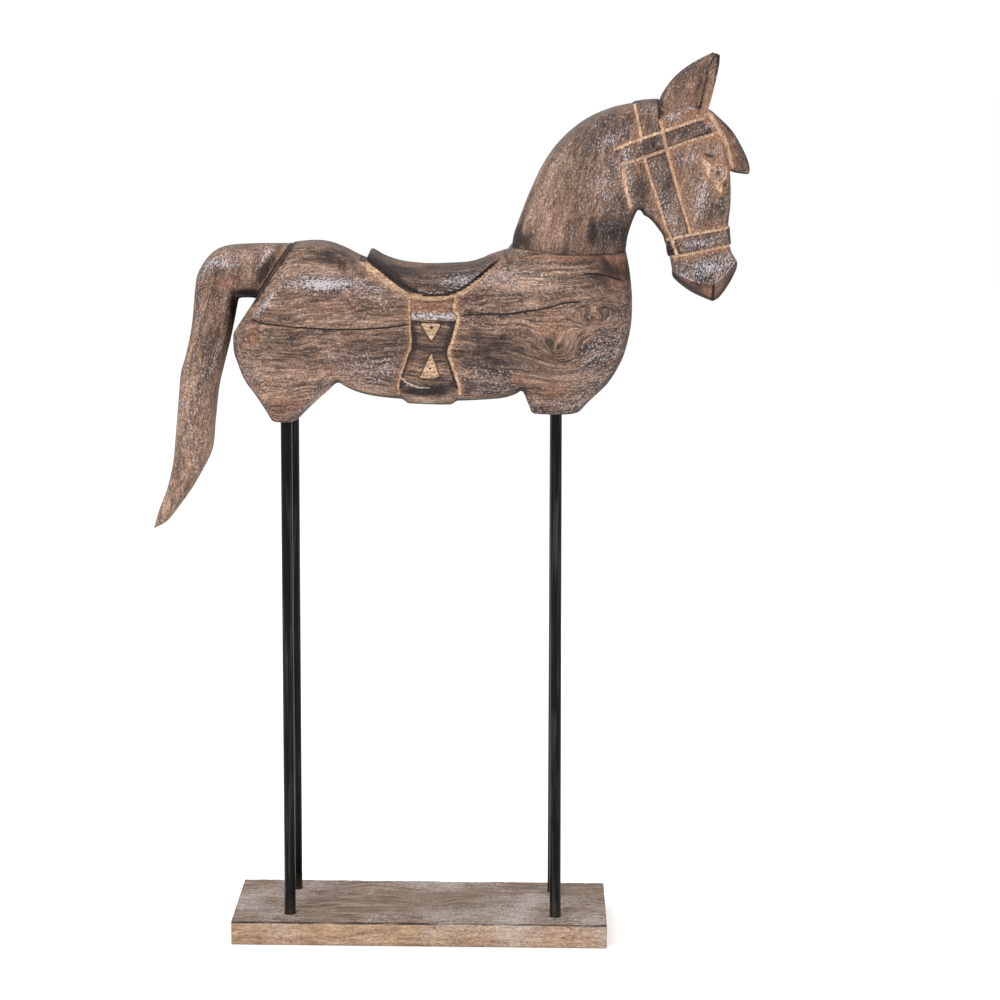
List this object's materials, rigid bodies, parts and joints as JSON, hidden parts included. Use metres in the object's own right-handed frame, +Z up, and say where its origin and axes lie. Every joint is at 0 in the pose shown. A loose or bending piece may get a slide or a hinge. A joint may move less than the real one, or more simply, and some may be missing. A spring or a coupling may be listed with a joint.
{
  "type": "wooden horse sculpture on a stand",
  "caption": "Carved wooden horse without lower legs, held over a low wooden base block by round black steel bars; a standing ornament.",
  "frame": {"origin": "middle of the base block's underside", "axes": "+X is the way the horse faces, along its length; +Z is up; +Y is the horse's left side, away from the camera"},
  "size_m": [0.6627, 0.148, 1.0002],
  "materials": {
    "horse_wood": "brown stained hardwood, whitewashed and rubbed back, matt",
    "base_wood": "greyish brown limewashed wood, lighter cut edges, matt",
    "black_steel": "satin black paint"
  },
  "bodies": {
    "root": {"base": "base_wood", "rod_hind_near": "black_steel", "rod_hind_far": "black_steel", "rod_fore_near": "black_steel", "rod_fore_far": "black_steel", "body": "horse_wood", "neck_and_head": "horse_wood", "tail": "horse_wood"}
  },
  "joints": []
}
